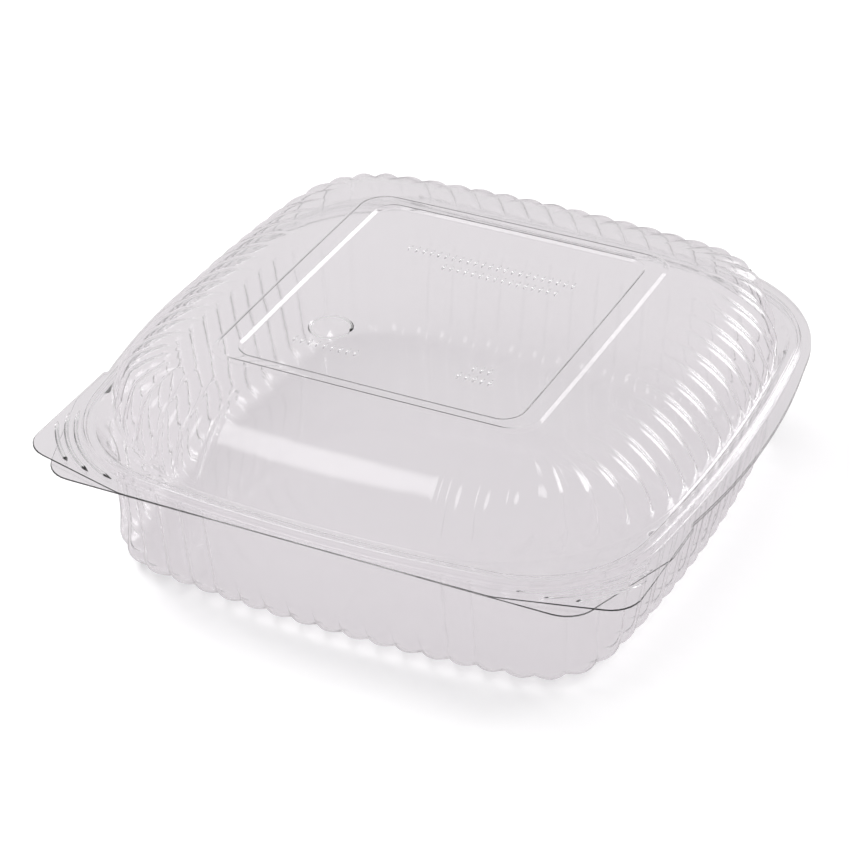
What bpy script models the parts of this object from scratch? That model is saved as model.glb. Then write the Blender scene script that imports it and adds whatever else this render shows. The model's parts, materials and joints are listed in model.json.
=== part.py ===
"""Clear hinged takeaway box, shut and empty: a deep tray and a shallow domed lid, thin thermoformed
sheet with fluted walls, a snap bead round the rim and a lift tab at each front corner.

Metres, +Z up, +X along the front edge, +Y towards the hinge. The tray stands on z = 0.
"""

import math

import bmesh
import bpy

MM = 0.001

# --- sheet and rim -------------------------------------------------------------------------------
SHEET = 0.45            # sheet thickness
PARTING_Z = 43.8        # height of the plane between the two flanges

HALF_SPAN = 103.0       # half size that every wall ring is measured in from
WALL_CENTRE_Y = -2.0    # the walls stand nearer the front, so the flange is wider at the hinge
SIDE_ARC = 495.0        # radius of the gently bowed sides of the rim
RIM_CORNER = 46.6       # corner radius of that outline

# --- flange outline ------------------------------------------------------------------------------
EDGE_FRONT = -103.3     # straight front edge of the lid
TRAY_SETBACK = 0.9      # the tray's front edge stands this far behind it
EDGE_BACK = 103.3       # straight hinge edge
TAB_REACH = 100.9       # a lid tab's outer edge, measured from the middle of the box
TAB_HEEL = -39.0        # where that edge runs back into the bowed side
LID_TAB_TIP = -93.4     # how far forward it reaches
LID_TAB_ROOT = 61.5     # where its slanting edge leaves the front edge
TRAY_TAB_TIP = 87.5     # how far sideways a tray tab reaches
TRAY_TAB_ROOT = -63.0   # where its slanting edge meets the side
TAB_TIP_RADIUS = 10.0
TAB_ROOT_RADIUS = 12.0
TAB_HEEL_RADIUS = 20.0
SIDE_PEAK = (107.9, -1.0, 266.0)        # where a side's two tangents cross, and its bow
HINGE_CORNER = (91.7, EDGE_BACK, 54.0)  # the same for a rear corner
OUTLINE_STEPS = 12      # straight pieces in each rounded corner

# --- flutes --------------------------------------------------------------------------------------
SIDE_FLUTES = 13
CORNER_FLUTES = 4
WINDOW = 4.2            # plain stretch of the front, in flutes each side of the middle
LOBE_MEAN = 0.6         # share of a flute's depth that lies inside the plain wall
STATIONS = 2            # points across one flute
RIM_WIDTH = 9.0         # rings this near the outline are drawn as finely as the fluted ones


class Ring:
    """One level of a wall.

    inset: how far in from the rim outline; z: height above the parting plane; flute: how deep its
    flutes are, and window the same for the plain stretch of the front; corner and arc: radii of its
    corners and of its bowed sides; stretch and shift: its own size and place front to back.
    """

    def __init__(self, inset, z, flute=0.0, window=0.0, corner=None, arc=None, stretch=1.0, shift=0.0):
        self.inset = inset
        self.z = z
        self.flute = flute
        self.window = window
        self.corner = RIM_CORNER - inset if corner is None else corner
        self.arc = SIDE_ARC - inset if arc is None else arc
        self.stretch = stretch
        self.shift = shift

    def moved(self, in_by, up_by):
        """The same ring further in and higher."""
        return Ring(self.inset + in_by, self.z + up_by, self.flute, self.window, self.corner - in_by,
                    self.arc - in_by, self.stretch, self.shift)


# Outer face of the lid from the flange up to the middle panel.
LID_RINGS = [
    Ring(3.6, 0.65),
    Ring(4.4, 3.1),
    Ring(7.4, 3.1),
    Ring(8.2, 3.5, corner=60.0),
    Ring(9.7, 10.0, 0.9, corner=57.0),
    Ring(13.9, 16.1, 1.1, corner=45.0),
    Ring(19.4, 20.8, 1.1, corner=28.5),
    Ring(26.0, 24.3, 0.8),
    Ring(34.0, 26.8, corner=14.0, arc=700.0, stretch=1.02, shift=-1.0),
    Ring(49.3, 28.7, corner=9.0, arc=3000.0, stretch=1.05, shift=-2.5),
    Ring(56.1, 27.5, corner=6.5, arc=3000.0, stretch=1.10, shift=-2.5),
]

# Outer face of the tray from the flange over the bead and down to the base.
TRAY_RINGS = [
    Ring(4.9, -0.65),
    Ring(5.6, 1.85),
    Ring(7.6, 1.85),
    Ring(9.2, -5.0, 0.8, corner=48.0),
    Ring(12.9, -28.0, 1.0, corner=40.0),
    Ring(14.8, -37.1, 1.1, window=1.1, corner=29.0),
    Ring(17.0, -40.8, 1.1, window=1.1, corner=23.5),
    Ring(19.6, -42.9, 0.8, window=0.8, corner=20.0),
    Ring(24.0, -43.8, corner=16.0),
]


# --- plan curves ---------------------------------------------------------------------------------

def corner_centre(half, arc, corner):
    """Distance from the axes at which a bowed side of radius arc meets a corner of radius corner."""
    b = 2.0 * (arc - half)
    d = (arc - half) ** 2 - (arc - corner) ** 2
    return (-b + math.sqrt(b * b - 8.0 * d)) / 4.0


def upright_hit(ring, x, y, nx, ny):
    """Where the line through a rim station (x, y) along (nx, ny) crosses a ring, in one quarter."""
    half = HALF_SPAN - ring.inset
    c = corner_centre(half, ring.arc, ring.corner)
    side_end = ring.arc * math.sin(math.atan2(c, c - half + ring.arc))

    def crossing(cx, cy, r):
        b = (x - cx) * nx + (y - cy) * ny
        s = math.sqrt(b * b - (x - cx) ** 2 - (y - cy) ** 2 + r * r) - b
        return x + s * nx, y + s * ny

    hx, hy = crossing(half - ring.arc, 0.0, ring.arc)
    if abs(hy) > side_end:
        hx, hy = crossing(c, math.copysign(c, hy), ring.corner)
        if hx < side_end:
            hx, hy = crossing(0.0, half - ring.arc, ring.arc)
    return hx, hy


def plan_ring(ring, columns):
    """Points and outward directions round one ring, the same stations for every ring.

    columns is how many stations one flute has; the walk starts in the middle of the front. The
    stations stand in upright planes square to the rim, as flutes do, and inside the focus of the
    corners each ring is divided by itself.
    """
    upright = ring.inset < RIM_CORNER
    half = HALF_SPAN if upright else HALF_SPAN - ring.inset
    arc = SIDE_ARC if upright else ring.arc
    corner = RIM_CORNER if upright else ring.corner
    c = corner_centre(half, arc, corner)
    lean = math.atan2(c, c - half + arc)
    side = SIDE_FLUTES * columns
    bend = CORNER_FLUTES * columns
    points = []
    for quarter in range(4):
        turn = quarter * math.pi / 2.0 - math.pi / 2.0
        ct = math.cos(turn)
        st = math.sin(turn)
        for i in range(side + bend):
            if i < side:
                a = lean * (2.0 * i / side - 1.0)
                x = half - arc + arc * math.cos(a)
                y = arc * math.sin(a)
            else:
                a = lean + (math.pi / 2.0 - 2.0 * lean) * (i - side) / bend
                x = c + corner * math.cos(a)
                y = c + corner * math.sin(a)
            if upright:
                x, y = upright_hit(ring, x, y, math.cos(a), math.sin(a))
            points.append((x * ct - y * st, (x * st + y * ct) * ring.stretch + ring.shift + WALL_CENTRE_Y,
                           math.cos(a + turn), math.sin(a + turn)))
    return points


def flute_depths(ring, columns):
    """How far each station stands out: lobes with a narrow valley between them."""
    depths = []
    for station in range((SIDE_FLUTES + CORNER_FLUTES) * 4 * columns):
        from_middle = abs(station / columns - SIDE_FLUTES / 2.0)
        depth = ring.window if from_middle <= WINDOW else ring.flute
        depths.append(depth * (abs(math.sin(math.pi * station / columns)) - LOBE_MEAN))
    return depths


def wall_loop(ring, columns, parting):
    """Vertices of one ring with its flutes."""
    depths = flute_depths(ring, columns)
    loop = []
    for (x, y, nx, ny), d in zip(plan_ring(ring, columns), depths):
        loop.append((x + nx * d, y + ny * d, parting + ring.z))
    return loop


def rounded_outline(corners, steps):
    """Closed outline through (x, y, radius) corners, anticlockwise, each corner an arc."""
    points = []
    n = len(corners)
    for i in range(n):
        px, py, _ = corners[i - 1]
        cx, cy, r = corners[i]
        qx, qy, _ = corners[(i + 1) % n]
        a = math.atan2(py - cy, px - cx)
        b = math.atan2(qy - cy, qx - cx)
        half = ((a - b) % (2.0 * math.pi)) / 2.0
        mid = b + half
        reach = r / math.sin(half)
        ox = cx + reach * math.cos(mid)
        oy = cy + reach * math.sin(mid)
        sweep = math.pi - 2.0 * half
        for k in range(steps + 1):
            t = mid + math.pi + sweep * (k / steps - 0.5)
            points.append((ox + r * math.cos(t), oy + r * math.sin(t)))
    return points


def flange_outline(tab):
    """A straight front and hinge edge, bowed sides and a tab at each front corner.

    tab: (x, y, radius) corners of the right-hand one, from the front edge round to the side.
    """
    right = tab + [(TAB_REACH, TAB_HEEL, TAB_HEEL_RADIUS), SIDE_PEAK, HINGE_CORNER]
    left = [(-x, y, radius) for x, y, radius in reversed(right)]
    return rounded_outline(right + left, OUTLINE_STEPS)


def lid_outline():
    """The lid's tabs reach out to the sides."""
    return flange_outline([
        (LID_TAB_ROOT, EDGE_FRONT, TAB_ROOT_RADIUS),
        (TAB_REACH, LID_TAB_TIP, TAB_TIP_RADIUS),
    ])


def tray_outline():
    """The tray's tabs reach out to the front, so each pair can be pulled apart."""
    return flange_outline([
        (TRAY_TAB_TIP, EDGE_FRONT + TRAY_SETBACK, TAB_TIP_RADIUS),
        (TAB_REACH, TRAY_TAB_ROOT, TAB_ROOT_RADIUS),
    ])


def meet(outline, x, y, nx, ny):
    """Where the ray from (x, y) along (nx, ny) leaves a closed outline."""
    best = None
    for i in range(len(outline)):
        ax, ay = outline[i - 1]
        bx, by = outline[i]
        ex = bx - ax
        ey = by - ay
        den = nx * ey - ny * ex
        if abs(den) < 1e-12:
            continue
        t = ((ax - x) * ey - (ay - y) * ex) / den
        s = ((ax - x) * ny - (ay - y) * nx) / den
        if -1e-9 <= s <= 1.0 + 1e-9 and t > 0.0:
            if best is None or t < best:
                best = t
    return x + nx * best, y + ny * best


def edge_loop(outline, ring, columns, parting):
    """Vertices of the flange edge, straight out from the ring inside it."""
    loop = []
    for x, y, nx, ny in plan_ring(ring, columns):
        ex, ey = meet(outline, x, y, nx, ny)
        loop.append((ex, ey, parting + ring.z))
    return loop


# --- sheet solids --------------------------------------------------------------------------------

def inner_rings(rings, down):
    """The same wall one sheet thickness inside, found from the slope on both sides of each ring."""
    result = []
    for i, ring in enumerate(rings):
        normals = []
        for a, b in ((i - 1, i), (i, i + 1)):
            flat = a < 0 or b == len(rings)
            di = 1.0 if flat else rings[b].inset - rings[a].inset
            dz = 0.0 if flat else rings[b].z - rings[a].z
            size = math.hypot(di, dz)
            side = 1.0 if down else -1.0
            normals.append((side * dz / size, -side * di / size))
        (ai, az), (bi, bz) = normals
        scale = SHEET / (1.0 + ai * bi + az * bz)
        result.append(ring.moved((ai + bi) * scale, (az + bz) * scale))
    return result


def join(faces, a, b):
    """Faces between two loops of vertex numbers, one of which may have half as many."""
    if len(a) == len(b):
        n = len(a)
        for i in range(n):
            j = (i + 1) % n
            faces.append((a[i], a[j], b[j]))
            faces.append((a[i], b[j], b[i]))
    elif len(b) == 2 * len(a):
        n = len(a)
        for i in range(n):
            j = (i + 1) % n
            faces.append((a[i], b[2 * i + 1], b[2 * i]))
            faces.append((a[i], a[j], b[2 * i + 1]))
            faces.append((a[j], b[(2 * i + 2) % len(b)], b[2 * i + 1]))
    else:
        n = len(b)
        for i in range(n):
            j = (i + 1) % n
            faces.append((a[2 * i], a[2 * i + 1], b[i]))
            faces.append((a[2 * i + 1], b[j], b[i]))
            faces.append((a[2 * i + 1], a[(2 * i + 2) % len(a)], b[j]))


def sheet_solid(name, rings, outline, upward, material, origin):
    """A thin closed shell: outer face, inner face and the cut edge of the flange."""
    shape = bmesh.new()
    ox, oy, oz = origin

    def add(loop):
        return [shape.verts.new(((x - ox) * MM, (y - oy) * MM, (z - oz) * MM)) for x, y, z in loop]

    edges = []
    skins = []
    for chain in (rings, inner_rings(rings, upward)):
        loops = [add(edge_loop(outline, chain[0], STATIONS, PARTING_Z))]
        for ring in chain:
            fine = ring.flute > 0.0 or ring.inset < RIM_WIDTH
            loops.append(add(wall_loop(ring, STATIONS if fine else 1, PARTING_Z)))
        centre = add([(0.0, WALL_CENTRE_Y, PARTING_Z + chain[-1].z)])[0]
        skin = []
        for a, b in zip(loops, loops[1:]):
            join(skin, a, b)
        last = loops[-1]
        for i in range(len(last)):
            skin.append((last[i], last[(i + 1) % len(last)], centre))
        edges.append(loops[0])
        skins.append(skin)
    top = 0 if upward else 1
    for corners in skins[top]:
        shape.faces.new(corners)
    for a, b, c in skins[1 - top]:
        shape.faces.new((a, c, b))
    upper = edges[top]
    lower = edges[1 - top]
    for i in range(len(upper)):
        j = (i + 1) % len(upper)
        shape.faces.new((lower[i], lower[j], upper[j]))
        shape.faces.new((lower[i], upper[j], upper[i]))
    mesh = bpy.data.meshes.new(name)
    shape.to_mesh(mesh)
    shape.free()
    mesh.materials.append(material)
    item = bpy.data.objects.new(name, mesh)
    item.location = (ox * MM, oy * MM, oz * MM)
    bpy.context.scene.collection.objects.link(item)
    return item


def clear_plastic():
    """Faintly grey clear plastic."""
    material = bpy.data.materials.new("clear plastic")
    material.use_nodes = True
    shader = material.node_tree.nodes["Principled BSDF"]
    shader.inputs["Base Color"].default_value = (0.80, 0.78, 0.80, 1.0)
    shader.inputs["Roughness"].default_value = 0.12
    shader.inputs["Metallic"].default_value = 0.0
    return material


def build():
    for item in list(bpy.data.objects):
        bpy.data.objects.remove(item, do_unlink=True)
    plastic = clear_plastic()
    sheet_solid("tray", TRAY_RINGS, tray_outline(), False, plastic, (0.0, 0.0, 0.0))
    sheet_solid("lid", LID_RINGS, lid_outline(), True, plastic, (0.0, EDGE_BACK, PARTING_Z))


build()
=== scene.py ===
"""Clear hinged takeaway box, shut and empty, on a white studio sweep.

+Z up, +X along the front edge, +Y towards the hinge. The sizes of the pieces and the camera's
distance are in millimetres, the studio's in metres.
"""

import json
import math

import bmesh
import bpy
from mathutils import Matrix, Vector


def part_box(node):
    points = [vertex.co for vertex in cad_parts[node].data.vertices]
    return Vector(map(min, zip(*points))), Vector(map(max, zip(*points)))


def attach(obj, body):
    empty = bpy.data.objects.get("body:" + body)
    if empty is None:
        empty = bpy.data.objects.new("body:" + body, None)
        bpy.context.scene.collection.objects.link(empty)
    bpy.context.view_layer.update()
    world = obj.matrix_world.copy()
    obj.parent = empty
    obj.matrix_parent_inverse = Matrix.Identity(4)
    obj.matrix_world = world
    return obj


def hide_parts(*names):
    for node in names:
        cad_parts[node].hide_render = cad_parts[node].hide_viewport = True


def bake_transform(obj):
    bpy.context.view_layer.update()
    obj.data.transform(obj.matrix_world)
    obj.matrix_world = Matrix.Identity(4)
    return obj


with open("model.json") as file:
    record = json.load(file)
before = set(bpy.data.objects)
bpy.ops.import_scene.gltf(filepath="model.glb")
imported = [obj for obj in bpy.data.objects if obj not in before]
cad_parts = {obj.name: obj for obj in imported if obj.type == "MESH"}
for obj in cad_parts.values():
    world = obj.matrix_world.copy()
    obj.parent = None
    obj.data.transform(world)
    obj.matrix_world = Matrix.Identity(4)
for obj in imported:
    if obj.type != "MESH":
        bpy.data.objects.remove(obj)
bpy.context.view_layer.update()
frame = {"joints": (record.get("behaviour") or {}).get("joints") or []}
MM = 0.001


# --- camera --------------------------------------------------------------------------------------
# A long lens about a metre away. It stands a little to the right of the front and looks down on
# the lid, so that the front and the right side both show.

AZIMUTH = 26.23
ELEVATION = 32.83
DISTANCE = 944.0
ROLL = -0.5
LENS = 129.15
LOOKS_AT = (5.07, -29.99, 44.2)


def aim(camera):
    """Stands the camera back from LOOKS_AT along its line of sight."""
    a = math.radians(AZIMUTH)
    e = math.radians(ELEVATION)
    back = Vector((math.sin(a) * math.cos(e), -math.cos(a) * math.cos(e), math.sin(e)))
    turn = back.to_track_quat("Z", "Y").to_matrix() @ Matrix.Rotation(math.radians(ROLL), 3, "Z")
    camera.matrix_world = Matrix.Translation((Vector(LOOKS_AT) + back * DISTANCE) * MM) @ turn.to_4x4()


camera = bpy.data.objects.new("camera", bpy.data.cameras.new("camera"))
bpy.context.scene.collection.objects.link(camera)
camera.data.lens = LENS
camera.data.clip_start = 0.05
camera.data.clip_end = 50.0
aim(camera)
bpy.context.scene.camera = camera


# --- tray ----------------------------------------------------------------------------------------
# The deep half of the box: one clear sheet drawn into a mould, fluted all round for stiffness, with
# a snap bead round its mouth and a flat flange whose two front corners reach forward as lift tabs.

SHEET = 0.35            # thickness after drawing
HINGE_Y = frame["joints"][0]["pos_m"][1] / MM
PARTING_Z = frame["joints"][0]["pos_m"][2] / MM
LID_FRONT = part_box("lid")[0].y / MM
TRAY_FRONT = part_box("tray")[0].y / MM

HALF_SPAN = 103.0       # half size that every wall ring is measured in from
WALL_CENTRE_Y = -2.0    # the walls stand nearer the front, so the flange is wider at the hinge
SIDE_ARC = 495.0        # radius of the gently bowed sides of the rim
RIM_CORNER = 46.6       # corner radius of that outline
TAB_REACH = 100.9       # outer edge of the side that runs out to a front tab
TAB_HEEL = -39.0        # where that edge runs back into the bowed side
TRAY_TAB_TIP = 87.5     # how far sideways a tray tab's front edge reaches
TRAY_TAB_ROOT = -63.0   # where its slanting edge meets the side
TAB_TIP_RADIUS = 10.0
TAB_ROOT_RADIUS = 12.0
TAB_HEEL_RADIUS = 20.0
SIDE_PEAK = (107.9, -1.0, 266.0)    # where a side's two tangents cross, and its bow
FOLD_GAP = 0.2                      # both sheets end this short of the hinge line, where the fold is
HINGE_CORNER = (91.7, HINGE_Y - FOLD_GAP, 54.0)
FLANGE_CUTS = (1.0, 0.96, 0.5)      # rows across the flange, as shares of its width

SIDE_FLUTES = 13
CORNER_FLUTES = 4
COLUMNS = 10            # mesh columns across one flute
TRAY_FLUTE = 2.2        # how deep the tray's flutes are
WINDOW = 4.2            # plain stretch of the front, in flutes each side of the middle
WINDOW_EDGE = 0.12      # how quickly the flutes end there, in flutes
VALLEY_ROUNDING = 0.005 # keeps the valleys between the lobes from being knife-sharp
WALL_STEP = 2.6         # spacing of the rings up the tray's wall
FLOOR_FROM = 16.0       # inset past which the tray's floor needs no more rings
FLANGE_FACE = 0.65      # a flange's outer face, above or below the parting plane
BASE_Z = -43.8          # and the tray's underside
UPRIGHT_TO = (24.0, 40.0)       # insets between which the stations leave the upright planes
TRAY_FLUTE_TOP = (-3.0, -7.0)   # heights between which the tray's flutes swell in
TRAY_FLUTE_END = (17.5, 25.0)   # insets between which they die out on the base
WINDOW_FOOT = (-31.0, -36.0)    # heights between which the plain front turns fluted
LOBE_MEAN = 0.6         # share of a flute's depth that lies inside the plain wall
STATIONS = (SIDE_FLUTES + CORNER_FLUTES) * 4 * COLUMNS

CLEAR = (0.99, 0.985, 0.99, 1.0)
THINNER_CLEAR = (1.0, 0.996, 1.0, 1.0)
# painted shade: the sheet's colour where it is seen edge on
EDGE_ON_PAINTED_SHADE = (0.78, 0.77, 0.78, 1.0)
EDGE_ON_SHADE = (0.25, 0.25, 0.26, 1.0)     # what the sheet lets past when light meets it edge on


def smooth(x, start, end):
    """0 before start, 1 after end and an even swell between."""
    t = min(max((x - start) / (end - start), 0.0), 1.0)
    return t * t * (3.0 - 2.0 * t)


def flowing(stops, x):
    """A smooth curve through (position, value) stops, level outside them."""
    if x <= stops[0][0]:
        return stops[0][1]
    if x >= stops[-1][0]:
        return stops[-1][1]
    i = max(k for k, stop in enumerate(stops) if stop[0] <= x)
    (xa, ya), (xb, yb) = stops[i], stops[i + 1]

    def slope(k):
        if k == 0 or k == len(stops) - 1:
            return 0.0
        return (stops[k + 1][1] - stops[k - 1][1]) / (stops[k + 1][0] - stops[k - 1][0])

    h = xb - xa
    t = (x - xa) / h
    return ((2 * t ** 3 - 3 * t ** 2 + 1) * ya + (t ** 3 - 2 * t ** 2 + t) * h * slope(i)
            + (3 * t ** 2 - 2 * t ** 3) * yb + (t ** 3 - t ** 2) * h * slope(i + 1))


def rounded(corners, steps, closed):
    """The chain through (x, y, radius) corners, each corner turned into an arc."""
    points = []
    n = len(corners)
    for i in range(n):
        cx, cy, r = corners[i]
        if r == 0.0 or (not closed and i in (0, n - 1)):
            points.append((cx, cy))
            continue
        corner = Vector((cx, cy))
        before = (Vector(corners[i - 1][:2]) - corner).normalized()
        after = (Vector(corners[(i + 1) % n][:2]) - corner).normalized()
        half = before.angle(after) / 2.0
        centre = corner + (before + after).normalized() * (r / math.sin(half))
        start = corner + before * (r / math.tan(half)) - centre
        side = 1.0 if before.x * after.y - before.y * after.x < 0.0 else -1.0
        for k in range(steps + 1):
            turn = Matrix.Rotation(side * (math.pi - 2.0 * half) * k / steps, 2)
            points.append(tuple(centre + turn @ start))
    return points


def corner_centre(half, arc, corner):
    """How far from the axes a bowed side of radius arc meets a corner of radius corner."""
    b = 2.0 * (arc - half)
    d = (arc - half) ** 2 - (arc - corner) ** 2
    return (-b + math.sqrt(b * b - 8.0 * d)) / 4.0


def quarter_ring(inset, corner, arc):
    """A quarter of a ring divided evenly by itself: points and outward angles, side then corner."""
    half = HALF_SPAN - inset
    c = corner_centre(half, arc, corner)
    lean = math.atan2(c, c - half + arc)
    side = SIDE_FLUTES * COLUMNS
    bend = CORNER_FLUTES * COLUMNS
    quarter = []
    for i in range(side + bend):
        if i < side:
            a = lean * (2.0 * i / side - 1.0)
            quarter.append((half - arc + arc * math.cos(a), arc * math.sin(a), a))
        else:
            a = lean + (math.pi / 2.0 - 2.0 * lean) * (i - side) / bend
            quarter.append((c + corner * math.cos(a), c + corner * math.sin(a), a))
    return quarter


def upright_hit(inset, corner, arc, x, y, a):
    """Where the upright plane through a rim station (x, y), square to the rim, crosses a ring."""
    half = HALF_SPAN - inset
    c = corner_centre(half, arc, corner)
    side_end = arc * math.sin(math.atan2(c, c - half + arc))
    nx = math.cos(a)
    ny = math.sin(a)

    def crossing(cx, cy, r):
        b = (x - cx) * nx + (y - cy) * ny
        s = math.sqrt(b * b - (x - cx) ** 2 - (y - cy) ** 2 + r * r) - b
        return x + s * nx, y + s * ny

    hx, hy = crossing(half - arc, 0.0, arc)
    if abs(hy) > side_end:
        hx, hy = crossing(c, math.copysign(c, hy), corner)
        if hx < side_end:
            hx, hy = crossing(0.0, half - arc, arc)
    return hx, hy


rim_quarter = quarter_ring(0.0, RIM_CORNER, SIDE_ARC)


def plan_ring(inset, corner, arc, stretch, shift):
    """Points and outward directions round the wall at one level, from the middle of the front.

    On the walls the stations stand in upright planes, as flutes do; towards the middle of the lid or
    the floor each ring is divided by itself.
    """
    own = smooth(inset, *UPRIGHT_TO)
    ring = []
    for turn in (-math.pi / 2.0, 0.0, math.pi / 2.0, math.pi):
        ct = math.cos(turn)
        st = math.sin(turn)
        for (rx, ry, a), (x, y, _) in zip(rim_quarter, quarter_ring(inset, corner, arc)):
            if own < 1.0:
                ux, uy = upright_hit(inset, corner, arc, rx, ry, a)
                x = ux + (x - ux) * own
                y = uy + (y - uy) * own
            ring.append((x * ct - y * st, (x * st + y * ct) * stretch + shift + WALL_CENTRE_Y,
                         math.cos(a + turn), math.sin(a + turn)))
    return ring


def flute(station):
    """Height of the flutes at one station, 0 in a valley and 1 on a lobe."""
    return math.sqrt(math.sin(math.pi * station / COLUMNS) ** 2 + VALLEY_ROUNDING)


def window_share(station):
    """1 on the plain stretch of the front and 0 elsewhere."""
    from_middle = abs(station / COLUMNS - SIDE_FLUTES / 2.0)
    return 1.0 - smooth(from_middle, WINDOW - WINDOW_EDGE, WINDOW + WINDOW_EDGE)


def leave(outline, x, y, nx, ny):
    """Where the ray from (x, y) along (nx, ny) leaves a closed outline."""
    best = None
    for (ax, ay), (bx, by) in zip(outline, outline[1:] + outline[:1]):
        ex = bx - ax
        ey = by - ay
        den = nx * ey - ny * ex
        if abs(den) < 1e-12:
            continue
        t = ((ax - x) * ey - (ay - y) * ex) / den
        s = ((ax - x) * ny - (ay - y) * nx) / den
        if -1e-9 <= s <= 1.0 + 1e-9 and t > 0.0 and (best is None or t < best):
            best = t
    return x + nx * best, y + ny * best


def formed_sheet(name, profile, plan, depths, outline, upward):
    """One thermoformed half: rings of the profile, a flange out to its outline, sheet thickness.

    profile: (inset, z) pairs from the flange inwards; plan(inset): corner, arc, stretch and shift
    there; depths(inset, z, station): how far the flutes stand out.
    """
    shape = bmesh.new()
    loops = []
    first = profile[0]
    root = plan_ring(first[0], *plan(first[0]))
    for share in FLANGE_CUTS:
        loop = []
        for x, y, nx, ny in root:
            ex, ey = leave(outline, x, y, nx, ny)
            px = x + (ex - x) * share
            py = y + (ey - y) * share
            loop.append(shape.verts.new((px * MM, py * MM, (PARTING_Z + first[1]) * MM)))
        loops.append(loop)
    for inset, z in profile:
        loop = []
        for station, (x, y, nx, ny) in enumerate(plan_ring(inset, *plan(inset))):
            d = depths(inset, z, station)
            loop.append(shape.verts.new(((x + nx * d) * MM, (y + ny * d) * MM, (PARTING_Z + z) * MM)))
        loops.append(loop)
    for outer, inner in zip(loops, loops[1:]):
        for i in range(STATIONS):
            j = (i + 1) % STATIONS
            shape.faces.new((outer[i], outer[j], inner[j], inner[i]))
    shape.faces.new(loops[-1])
    for face in shape.faces:
        face.smooth = True
    if not upward:
        bmesh.ops.reverse_faces(shape, faces=shape.faces[:])
    mesh = bpy.data.meshes.new(name)
    shape.to_mesh(mesh)
    shape.free()
    piece = bpy.data.objects.new(name, mesh)
    bpy.context.scene.collection.objects.link(piece)
    thicken = piece.modifiers.new("sheet thickness", "SOLIDIFY")
    thicken.thickness = SHEET * MM
    thicken.offset = -1.0
    return piece


def draw_marks():
    """Node group: what drawing a sheet into a mould leaves in it. Waves, draw lines and faint haze."""
    group = bpy.data.node_groups.new("draw marks", "ShaderNodeTree")
    for label in ("Wave Size", "Haze"):
        group.interface.new_socket(label, in_out="INPUT", socket_type="NodeSocketFloat")
    for label in ("Height", "Roughness", "Thin Spots"):
        group.interface.new_socket(label, in_out="OUTPUT", socket_type="NodeSocketFloat")
    nodes = group.nodes
    links = group.links
    given = nodes.new("NodeGroupInput")
    result = nodes.new("NodeGroupOutput")
    place = nodes.new("ShaderNodeTexCoord")
    waves = nodes.new("ShaderNodeTexNoise")
    waves.inputs["Detail"].default_value = 2.0
    links.new(place.outputs["Object"], waves.inputs["Vector"])
    links.new(given.outputs["Wave Size"], waves.inputs["Scale"])
    stretched = nodes.new("ShaderNodeMapping")
    stretched.inputs["Scale"].default_value = (1.0, 1.0, 0.06)
    links.new(place.outputs["Object"], stretched.inputs["Vector"])
    lines = nodes.new("ShaderNodeTexNoise")
    lines.inputs["Scale"].default_value = 900.0
    lines.inputs["Detail"].default_value = 1.0
    links.new(stretched.outputs["Vector"], lines.inputs["Vector"])
    height = nodes.new("ShaderNodeMath")
    height.operation = "MULTIPLY_ADD"
    height.inputs[1].default_value = 0.02
    links.new(lines.outputs["Fac"], height.inputs[0])
    links.new(waves.outputs["Fac"], height.inputs[2])
    links.new(height.outputs["Value"], result.inputs["Height"])
    smudges = nodes.new("ShaderNodeTexNoise")
    smudges.inputs["Scale"].default_value = 35.0
    smudges.inputs["Detail"].default_value = 6.0
    links.new(place.outputs["Object"], smudges.inputs["Vector"])
    haze = nodes.new("ShaderNodeMath")
    haze.operation = "MULTIPLY"
    links.new(smudges.outputs["Fac"], haze.inputs[0])
    links.new(given.outputs["Haze"], haze.inputs[1])
    links.new(haze.outputs["Value"], result.inputs["Roughness"])
    links.new(waves.outputs["Fac"], result.inputs["Thin Spots"])
    return group


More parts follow.
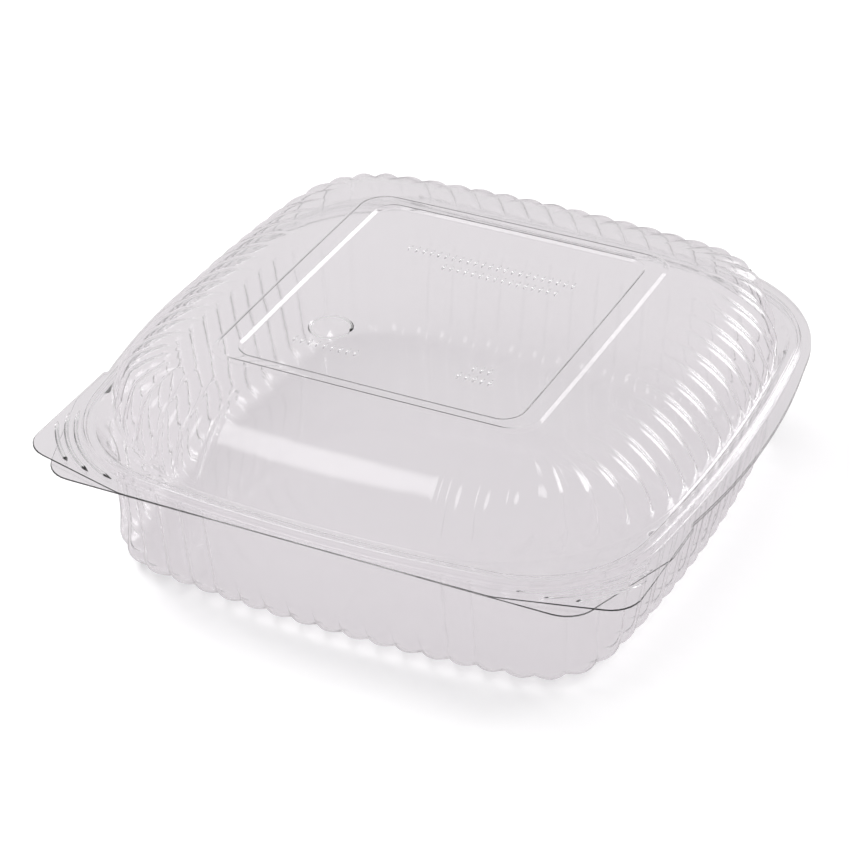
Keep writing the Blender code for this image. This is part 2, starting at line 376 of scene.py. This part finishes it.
def clear_sheet():
    """Clear food-grade sheet, with painted shade that greys its colour where it is seen edge on. Lamps shine
    through it.
    """
    material = bpy.data.materials.new("clear sheet")
    material.use_nodes = True
    nodes = material.node_tree.nodes
    links = material.node_tree.links
    shader = nodes["Principled BSDF"]
    shader.inputs["Metallic"].default_value = 0.0
    shader.inputs["Transmission Weight"].default_value = 1.0
    shader.inputs["IOR"].default_value = 1.5
    drawn = nodes.new("ShaderNodeGroup")
    drawn.node_tree = draw_marks()
    drawn.inputs["Wave Size"].default_value = 45.0
    drawn.inputs["Haze"].default_value = 0.08
    thin = nodes.new("ShaderNodeMix")
    thin.data_type = "RGBA"
    thin.inputs["A"].default_value = CLEAR
    thin.inputs["B"].default_value = THINNER_CLEAR
    links.new(drawn.outputs["Thin Spots"], thin.inputs["Factor"])
    slant = nodes.new("ShaderNodeLayerWeight")
    slant.inputs["Blend"].default_value = 0.5
    # Painted shade: the sheet's colour turns grey where it is seen edge on, in place of the dark lines that
    # grazing reflection gives.
    edge_shade_mask = nodes.new("ShaderNodeMath")
    edge_shade_mask.operation = "POWER"
    edge_shade_mask.inputs[1].default_value = 5.0
    links.new(slant.outputs["Facing"], edge_shade_mask.inputs[0])
    painted_edge_shade = nodes.new("ShaderNodeMix")
    painted_edge_shade.data_type = "RGBA"
    painted_edge_shade.inputs["B"].default_value = EDGE_ON_PAINTED_SHADE
    links.new(edge_shade_mask.outputs["Value"], painted_edge_shade.inputs["Factor"])
    links.new(thin.outputs["Result"], painted_edge_shade.inputs["A"])
    links.new(painted_edge_shade.outputs["Result"], shader.inputs["Base Color"])
    links.new(drawn.outputs["Roughness"], shader.inputs["Roughness"])
    waves = nodes.new("ShaderNodeBump")
    waves.inputs["Strength"].default_value = 0.3
    waves.inputs["Distance"].default_value = 0.0004
    links.new(drawn.outputs["Height"], waves.inputs["Height"])
    links.new(waves.outputs["Normal"], shader.inputs["Normal"])
    let_through = nodes.new("ShaderNodeBsdfTransparent")
    blocked = nodes.new("ShaderNodeMath")
    blocked.operation = "POWER"
    blocked.inputs[1].default_value = 2.0
    links.new(slant.outputs["Facing"], blocked.inputs[0])
    cast = nodes.new("ShaderNodeMix")
    cast.data_type = "RGBA"
    cast.inputs["A"].default_value = CLEAR
    cast.inputs["B"].default_value = EDGE_ON_SHADE
    links.new(blocked.outputs["Value"], cast.inputs["Factor"])
    links.new(cast.outputs["Result"], let_through.inputs["Color"])
    path = nodes.new("ShaderNodeLightPath")
    either = nodes.new("ShaderNodeMath")
    either.operation = "MAXIMUM"
    links.new(path.outputs["Is Shadow Ray"], either.inputs[0])
    links.new(path.outputs["Is Diffuse Ray"], either.inputs[1])
    choose = nodes.new("ShaderNodeMixShader")
    links.new(either.outputs["Value"], choose.inputs[0])
    links.new(shader.outputs["BSDF"], choose.inputs[1])
    links.new(let_through.outputs["BSDF"], choose.inputs[2])
    links.new(choose.outputs["Shader"], nodes["Material Output"].inputs["Surface"])
    return material


def tray_plan(inset):
    """The corners tighten towards the base and the sides straighten a little."""
    corner = flowing([(4.0, RIM_CORNER - 4.0), (7.6, RIM_CORNER - 7.6), (9.2, 48.0), (12.9, 40.0),
                      (14.8, 29.0), (17.0, 23.5), (19.6, 20.0), (24.0, 16.0), (60.0, 8.0), (95.0, 2.0)],
                     inset)
    return corner, SIDE_ARC - inset, 1.0, 0.0


def tray_depths(inset, z, station):
    """Fluted from under the bead to the foot; only the foot is fluted along the plain front."""
    fades = smooth(z, *TRAY_FLUTE_TOP) * (1.0 - smooth(inset, *TRAY_FLUTE_END))
    front = smooth(z, *WINDOW_FOOT)
    depth = TRAY_FLUTE * fades * (1.0 + (front - 1.0) * window_share(station))
    return depth * (flute(station) - LOBE_MEAN)


def tray_profile():
    """Flange, snap bead, wall, foot bend and floor."""
    corners = [(4.0, -FLANGE_FACE, 0.0), (4.9, -FLANGE_FACE, 0.6),
               (5.6, 1.85, 0.7), (7.6, 1.85, 0.8), (9.2, -5.0, 12.0), (15.6, BASE_Z, 10.0),
               (30.0, BASE_Z, 0.0), (75.0, BASE_Z, 0.0), (92.0, BASE_Z, 0.0)]
    chain = rounded(corners, 7, closed=False)
    filled = []
    for (xa, za), (xb, zb) in zip(chain, chain[1:]):
        cuts = max(1, int(math.hypot(xb - xa, zb - za) / WALL_STEP)) if xb < FLOOR_FROM else 1
        filled += [(xa + (xb - xa) * k / cuts, za + (zb - za) * k / cuts) for k in range(cuts)]
    return filled + [chain[-1]]


def flange_outline(tab):
    """A straight front and hinge edge, bowed sides and a tab at each front corner.

    tab: (x, y, radius) corners of the right-hand one, from the front edge round to the side.
    """
    right = tab + [(TAB_REACH, TAB_HEEL, TAB_HEEL_RADIUS), SIDE_PEAK, HINGE_CORNER]
    left = [(-x, y, radius) for x, y, radius in reversed(right)]
    return rounded(right + left, 24, closed=True)


plastic = clear_sheet()
tray_outline = flange_outline([
    (TRAY_TAB_TIP, TRAY_FRONT, TAB_TIP_RADIUS),
    (TAB_REACH, TRAY_TAB_ROOT, TAB_ROOT_RADIUS),
])
tray = formed_sheet("tray_shell", tray_profile(), tray_plan, tray_depths, tray_outline, upward=False)
tray.data.materials.append(plastic)
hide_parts("tray")
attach(tray, "tray")


# --- lid -----------------------------------------------------------------------------------------
# The shallow half, drawn from the same sheet: a rim that clips over the tray's bead, a fluted dome
# and a flat panel with a raised frame on top. Its two front corners reach out sideways as lift tabs.

LID_TAB_ROOT = 61.5     # where a lid tab's slanting edge leaves the front edge
LID_TAB_TIP = -93.4     # how far forward its outer edge reaches
RIM_FOOT = 7.4          # inset of the ledge that the dome rises from
DOME_FOOT = (8.4, 6.4)  # inset and height where the dome's sweep starts
DOME_LEAN = 0.348       # its slope there, from upright, in radians
DOME_PULL = 17.5        # how far it keeps that slope
SHOULDER_Z = 27.95      # height where the sweep ends, just outside the frame
DOME_TOP = (47.4, SHOULDER_Z)
DOME_TOP_PULL = (30.2, 27.8)    # what draws the sweep level there
DOME_STEPS = 26
PANEL_EDGE = 49.3       # inset of the raised frame's outer edge
PANEL_FLOOR = 56.1      # and of its inner foot
PANEL_CORNER = 9.0      # corner radius of the frame
PANEL_ARC = 4000.0      # radius of its nearly straight sides
PANEL_Z = 27.5          # the middle panel
LID_FLUTE = 2.7         # how deep the lid's flutes are
LID_FLUTE_FOOT = (4.5, 9.0)     # heights between which they swell in
LID_FLUTE_END = (23.0, 41.0)    # insets between which they die out on the shoulder
WINDOW_SINK = 0.35      # how far the plain window lies inside the wall, in flute depths


def lid_plan(inset):
    """The rim's bowed outline turns into the panel's straight one across the top of the dome."""
    share = smooth(inset, 24.0, PANEL_EDGE - 2.0)
    corner = flowing([(RIM_FOOT, RIM_CORNER - RIM_FOOT), (8.1, 60.0), (9.7, 57.0), (13.9, 45.0), (19.4, 28.5),
                      (26.0, 20.6), (34.0, 14.0), (PANEL_EDGE, PANEL_CORNER)], inset)
    if inset < RIM_FOOT:
        corner = RIM_CORNER - inset
    if inset > PANEL_EDGE:
        corner = flowing([(PANEL_EDGE, PANEL_CORNER), (PANEL_FLOOR, 6.5), (100.0, 1.0)], inset)
    bow = (1.0 - share) / (SIDE_ARC - inset) + share / PANEL_ARC
    down = min(max((inset - PANEL_EDGE) / (PANEL_FLOOR - PANEL_EDGE), 0.0), 1.0)
    stretch = 1.0 + 0.05 * share + 0.05 * down
    return corner, 1.0 / bow, stretch, -2.5 * share


def lid_depths(inset, z, station):
    """Flutes run from just above the rim up over the shoulder; the front's middle is plain."""
    fades = smooth(z, *LID_FLUTE_FOOT) * (1.0 - smooth(inset, *LID_FLUTE_END))
    window = window_share(station)
    return LID_FLUTE * fades * ((flute(station) - LOBE_MEAN) * (1.0 - window) - WINDOW_SINK * window)


def lid_profile():
    """Flange, rim crest and ledge, then a dome in one sweep, then the framed panel."""
    rim = rounded([(3.0, FLANGE_FACE, 0.0), (3.6, FLANGE_FACE, 0.5), (4.4, 3.1, 0.9),
                   (RIM_FOOT, 3.1, 0.5), (8.1, 3.5, 0.5), DOME_FOOT + (0.0,)], 6, closed=False)
    foot_pull = (DOME_FOOT[0] + DOME_PULL * math.sin(DOME_LEAN),
                 DOME_FOOT[1] + DOME_PULL * math.cos(DOME_LEAN))
    pulls = (DOME_FOOT, foot_pull, DOME_TOP_PULL, DOME_TOP)
    dome = []
    for k in range(1, DOME_STEPS):
        t = k / DOME_STEPS
        weights = ((1 - t) ** 3, 3 * t * (1 - t) ** 2, 3 * t ** 2 * (1 - t), t ** 3)
        dome.append(tuple(sum(w * p[axis] for w, p in zip(weights, pulls)) for axis in (0, 1)))
    frame_edge = rounded([dome[-1] + (0.0,), (PANEL_EDGE - 1.3, SHOULDER_Z, 0.6), (PANEL_EDGE, 28.7, 0.7),
                          (PANEL_FLOOR - 1.1, 28.5, 0.6), (PANEL_FLOOR, PANEL_Z, 0.6),
                          (64.0, PANEL_Z, 0.0), (95.0, PANEL_Z, 0.0)], 5, closed=False)
    return rim + dome[:-1] + frame_edge


lid_outline = flange_outline([
    (LID_TAB_ROOT, LID_FRONT, TAB_ROOT_RADIUS),
    (TAB_REACH, LID_TAB_TIP, TAB_TIP_RADIUS),
])
lid = formed_sheet("lid_shell", lid_profile(), lid_plan, lid_depths, lid_outline, upward=True)
lid.data.materials.append(plastic)
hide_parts("lid")
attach(lid, "lid")


# --- raised marks --------------------------------------------------------------------------------
# Low beads pressed up in the lid: three curved grip ridges on each front tab, and a ring and rows of
# short bars on the panel.

BEAD_SECTION = ((-1.0, 0.0), (-0.75, 0.65), (0.0, 1.0), (0.75, 0.65), (1.0, 0.0))
BEAD_END = 0.2          # share of a bead's width and height left at its ends
BEAD_TAPER = 0.4        # and how much of it each point further in adds
GRIP_CENTRE = (53.2, -55.2)
GRIP_RIDGES = (                     # radius, and the angles between which each ridge runs
    (44.8, -72.0, -18.0),
    (47.7, -62.0, -20.0),
    (50.6, -52.0, -26.0),
)
PANEL_RING = (-27.0, -30.0, 6.5)    # where the ring stands, and its radius
GRIP_BEAD = (0.7, 0.4)              # half width and height of a ridge
PANEL_BEAD = (0.6, 0.25)            # and of a bead on the panel
BEAD_LIFT = 0.02                    # keeps a bead's foot clear of the face that it stands on
BAR_PITCH = 2.6
BAR_LENGTH = 3.6
BAR_ROWS = (                        # middle of each row, and how many bars stand in it
    (2.0, 25.0, 23),
    (8.0, 18.5, 16),
    (-23.4, -40.5, 9),
    (26.0, -33.0, 3),
    (26.0, -38.5, 5),
)


def bead(shape, path, half_width, height, z):
    """A low rounded bead along a path of (x, y) points, lying on a flat face at z, thin at its ends."""
    sections = []
    last = len(path) - 1
    for i, (x, y) in enumerate(path):
        size = min(1.0, BEAD_END + BEAD_TAPER * min(i, last - i))
        along = Vector(path[min(i + 1, last)]) - Vector(path[max(i - 1, 0)])
        side = Vector((along.y, -along.x)).normalized() * half_width * size
        top = height * size
        sections.append([shape.verts.new(((x + side.x * s) * MM, (y + side.y * s) * MM, (z + top * up) * MM))
                         for s, up in BEAD_SECTION])
    for here, there in zip(sections, sections[1:]):
        for k in range(len(here)):
            j = (k + 1) % len(here)
            shape.faces.new((here[k], there[k], there[j], here[j])).smooth = True
    shape.faces.new(sections[0])
    shape.faces.new(reversed(sections[-1]))


def arc(centre, radius, start, end, steps):
    """Points along an arc, angles in degrees."""
    return [(centre[0] + radius * math.cos(math.radians(start + (end - start) * k / steps)),
             centre[1] + radius * math.sin(math.radians(start + (end - start) * k / steps)))
            for k in range(steps + 1)]


def lid_marks():
    """All the beads, as one mesh."""
    shape = bmesh.new()
    tab_top = PARTING_Z + FLANGE_FACE + BEAD_LIFT
    panel_top = PARTING_Z + PANEL_Z + BEAD_LIFT
    for radius, start, end in GRIP_RIDGES:
        ridge = arc(GRIP_CENTRE, radius, start, end, 28)
        bead(shape, ridge, *GRIP_BEAD, tab_top)
        bead(shape, [(-x, y) for x, y in reversed(ridge)], *GRIP_BEAD, tab_top)
    bead(shape, arc(PANEL_RING, PANEL_RING[2], 0.0, 357.0, 60), *PANEL_BEAD, panel_top)
    for row_x, row_y, bars in BAR_ROWS:
        for k in range(bars):
            x = row_x + BAR_PITCH * (k - (bars - 1) / 2.0)
            bar = [(x, row_y + BAR_LENGTH * share) for share in (-0.5, -0.3, 0.0, 0.3, 0.5)]
            bead(shape, bar, *PANEL_BEAD, panel_top)
    bmesh.ops.recalc_face_normals(shape, faces=shape.faces[:])
    mesh = bpy.data.meshes.new("lid marks")
    shape.to_mesh(mesh)
    shape.free()
    marks = bpy.data.objects.new("lid_marks", mesh)
    bpy.context.scene.collection.objects.link(marks)
    return marks


marks = lid_marks()
marks.data.materials.append(plastic)
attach(marks, "lid")


# --- hinge ---------------------------------------------------------------------------------------
# The fold along the back, where the one sheet turns from tray to lid. It is creased thin between the
# two rear corners, so that it bends without cracking.

FOLD_HALF_LENGTH = 62.0
FOLD_HALF_HEIGHT = 0.47
FOLD_BULGE = 0.5
FOLD_SHEET = 0.2


def fold_strip():
    """A narrow strip, half round in section, from the tray's flange up to the lid's."""
    across = 8
    along = 40
    shape = bmesh.new()
    rows = []
    for k in range(across + 1):
        a = math.pi * (k / across - 0.5)
        row = []
        for i in range(along + 1):
            x = FOLD_HALF_LENGTH * (2.0 * i / along - 1.0)
            y = HINGE_Y - FOLD_GAP + FOLD_BULGE * math.cos(a)
            z = PARTING_Z + FOLD_HALF_HEIGHT * math.sin(a)
            row.append(shape.verts.new((x * MM, y * MM, z * MM)))
        rows.append(row)
    for lower, upper in zip(rows, rows[1:]):
        for i in range(along):
            shape.faces.new((lower[i + 1], lower[i], upper[i], upper[i + 1])).smooth = True
    mesh = bpy.data.meshes.new("fold")
    shape.to_mesh(mesh)
    shape.free()
    strip = bpy.data.objects.new("hinge_fold", mesh)
    bpy.context.scene.collection.objects.link(strip)
    thicken = strip.modifiers.new("creased sheet", "SOLIDIFY")
    thicken.thickness = FOLD_SHEET * MM
    thicken.offset = -1.0
    return strip


fold = fold_strip()
fold.data.materials.append(plastic)
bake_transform(fold)


# --- studio --------------------------------------------------------------------------------------
# A white sweep under and behind the box, a soft light high at the left that casts its shadow, and
# an even room with two soft panels: one overhead at the front left, one low behind at the right.

FLOOR_REACH = 6.0
FLOOR_DROP = 0.0003     # keeps the floor from lying in one plane with the tray's underside
ROSY_WHITE = (1.0, 0.945, 0.985, 1.0)
FLOOR_SEEN = (0.97, 0.97, 0.97, 1.0)
FLOOR_SEEN_THROUGH = (0.20, 0.20, 0.20, 1.0)
GLOW_SEEN = 0.08
GLOW_SEEN_THROUGH = 0.535
BOUNCES = 30            # enough to see through both halves, front and back
MIRROR_BOUNCES = 8


def sweep():
    """The floor, white to the camera and pale grey where it is seen through the plastic."""
    mesh = bpy.data.meshes.new("floor")
    corners = [(x * FLOOR_REACH, y * FLOOR_REACH, 0.0) for x, y in ((-1, -1), (1, -1), (1, 1), (-1, 1))]
    mesh.from_pydata(corners, [], [(0, 1, 2, 3)])
    floor = bpy.data.objects.new("floor", mesh)
    floor.location.z = -FLOOR_DROP
    bpy.context.scene.collection.objects.link(floor)
    material = bpy.data.materials.new("white sweep")
    material.use_nodes = True
    nodes = material.node_tree.nodes
    links = material.node_tree.links
    shader = nodes["Principled BSDF"]
    shader.inputs["Roughness"].default_value = 1.0
    shader.inputs["Specular IOR Level"].default_value = 0.0
    shader.inputs["Emission Color"].default_value = ROSY_WHITE
    path = nodes.new("ShaderNodeLightPath")
    shade = nodes.new("ShaderNodeMix")
    shade.data_type = "RGBA"
    shade.inputs["A"].default_value = FLOOR_SEEN_THROUGH
    shade.inputs["B"].default_value = FLOOR_SEEN
    links.new(path.outputs["Is Camera Ray"], shade.inputs["Factor"])
    links.new(shade.outputs["Result"], shader.inputs["Base Color"])
    glow = nodes.new("ShaderNodeMapRange")
    glow.inputs["To Min"].default_value = GLOW_SEEN_THROUGH
    glow.inputs["To Max"].default_value = GLOW_SEEN
    links.new(path.outputs["Is Camera Ray"], glow.inputs["Value"])
    links.new(glow.outputs["Result"], shader.inputs["Emission Strength"])
    mesh.materials.append(material)


def softbox(name, place, size, power):
    """A square soft light that faces the box and stays out of its reflections."""
    light = bpy.data.lights.new(name, "AREA")
    light.shape = "SQUARE"
    light.size = size
    light.energy = power
    lamp = bpy.data.objects.new(name, light)
    lamp.location = place
    lamp.rotation_euler = (Vector(place) - Vector((0.0, 0.0, 0.04))).to_track_quat("Z", "Y").to_euler()
    lamp.visible_glossy = False
    lamp.visible_transmission = False
    bpy.context.scene.collection.objects.link(lamp)


def room(bright, dim, panels):
    """An even pale room, darker overhead, with soft-edged panels of light: direction, spread, power."""
    world = bpy.data.worlds.new("room")
    bpy.context.scene.world = world
    world.use_nodes = True
    nodes = world.node_tree.nodes
    links = world.node_tree.links
    where = nodes.new("ShaderNodeTexCoord")
    split = nodes.new("ShaderNodeSeparateXYZ")
    links.new(where.outputs["Generated"], split.inputs["Vector"])
    fade = nodes.new("ShaderNodeMapRange")
    fade.inputs["From Min"].default_value = 0.0
    fade.inputs["From Max"].default_value = 0.7
    fade.inputs["To Min"].default_value = bright
    fade.inputs["To Max"].default_value = dim
    links.new(split.outputs["Z"], fade.inputs["Value"])
    total = fade.outputs["Result"]
    for direction, spread, power in panels:
        facing = nodes.new("ShaderNodeVectorMath")
        facing.operation = "DOT_PRODUCT"
        facing.inputs[1].default_value = Vector(direction).normalized()
        links.new(where.outputs["Generated"], facing.inputs[0])
        patch = nodes.new("ShaderNodeMapRange")
        patch.interpolation_type = "SMOOTHSTEP"
        patch.inputs["From Min"].default_value = math.cos(math.radians(spread))
        patch.inputs["From Max"].default_value = math.cos(math.radians(spread * 0.45))
        patch.inputs["To Max"].default_value = power
        links.new(facing.outputs["Value"], patch.inputs["Value"])
        both = nodes.new("ShaderNodeMath")
        links.new(total, both.inputs[0])
        links.new(patch.outputs["Result"], both.inputs[1])
        total = both.outputs["Value"]
    links.new(total, nodes["Background"].inputs["Color"])


sweep()
softbox("key light", place=(-0.9, 0.12, 1.15), size=0.6, power=9.5)
room(bright=0.74, dim=0.70, panels=[((-0.42, -0.40, 0.81), 17.0, 2.0), ((0.48, 0.75, 0.45), 19.0, 3.6)])
bpy.context.scene.view_settings.view_transform = "Standard"
bpy.context.scene.cycles.max_bounces = BOUNCES
bpy.context.scene.cycles.transmission_bounces = BOUNCES
bpy.context.scene.cycles.transparent_max_bounces = BOUNCES
bpy.context.scene.cycles.glossy_bounces = MIRROR_BOUNCES
